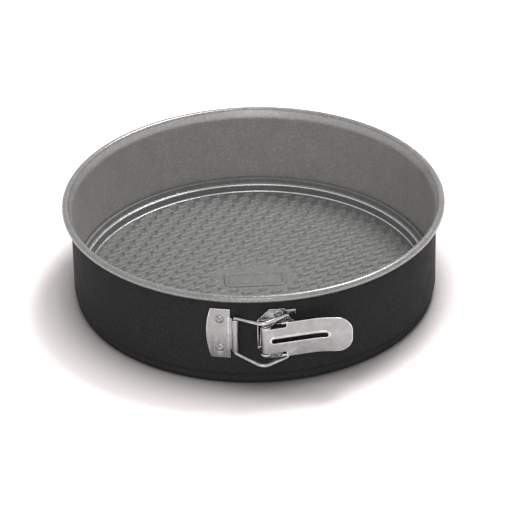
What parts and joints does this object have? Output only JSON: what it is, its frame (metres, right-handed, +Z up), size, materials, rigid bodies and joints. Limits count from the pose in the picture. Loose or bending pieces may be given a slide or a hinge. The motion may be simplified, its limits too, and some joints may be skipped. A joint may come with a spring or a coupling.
{
  "type": "springform pan",
  "caption": "Round springform cake pan: a sprung steel band with a rolled rim, an over-centre lever latch with a wire bail, and a lift-out base tray.",
  "frame": {"origin": "on the pan's axis, at the level of the surface that it stands on", "axes": "+Z up along the pan's axis, -Y towards the latch's pivot, +X towards the free end of the closed lever"},
  "size_m": [0.241, 0.2496, 0.0655],
  "materials": {
    "band_coating": "non-stick coating, satin",
    "base_coating": "non-stick coating with a fine metallic speckle",
    "rim_wire": "drawn steel wire",
    "latch_steel": "bright nickel plate",
    "rivet_steel": "plated steel",
    "bail_wire": "bright plated wire"
  },
  "bodies": {
    "pan": {"band_right": "band_coating", "rim_wire_right": "rim_wire", "lever_bracket": "latch_steel", "bracket_rivets": "rivet_steel", "lever_pin": "rivet_steel"},
    "left_end": {"band_left": "band_coating", "rim_wire_left": "rim_wire", "hinge_plate": "latch_steel", "hinge_plate_rivets": "rivet_steel"},
    "bail": {"wire_bail": "bail_wire"},
    "lever": {"lever_handle": "latch_steel"},
    "base": {"base_disc": "base_coating"}
  },
  "joints": [
    {"name": "lever_swing", "type": "hinge", "parent": "pan", "child": "lever", "pos_m": [0, -0.123, 0.037], "axis": [0, 0, -1], "range_deg": [0, 170]},
    {"name": "band_open", "type": "hinge", "parent": "pan", "child": "left_end", "pos_m": [0, 0.1205, 0.0328], "axis": [0, 0, -1], "range_deg": [0, 5.31]},
    {"name": "bail_swing", "type": "hinge", "parent": "left_end", "child": "bail", "pos_m": [-0.018, -0.11611, 0.037], "axis": [0, 0, -1], "range_deg": [0, 20.33]},
    {"name": "base_lift", "type": "slide", "parent": "pan", "child": "base", "axis": [0, 0, 1], "range_m": [0, 0.1]}
  ],
  "couplings": [
    {"joint": "band_open", "follows": "lever_swing", "ratio": 0.031214},
    {"joint": "bail_swing", "follows": "lever_swing", "ratio": 0.11952}
  ]
}
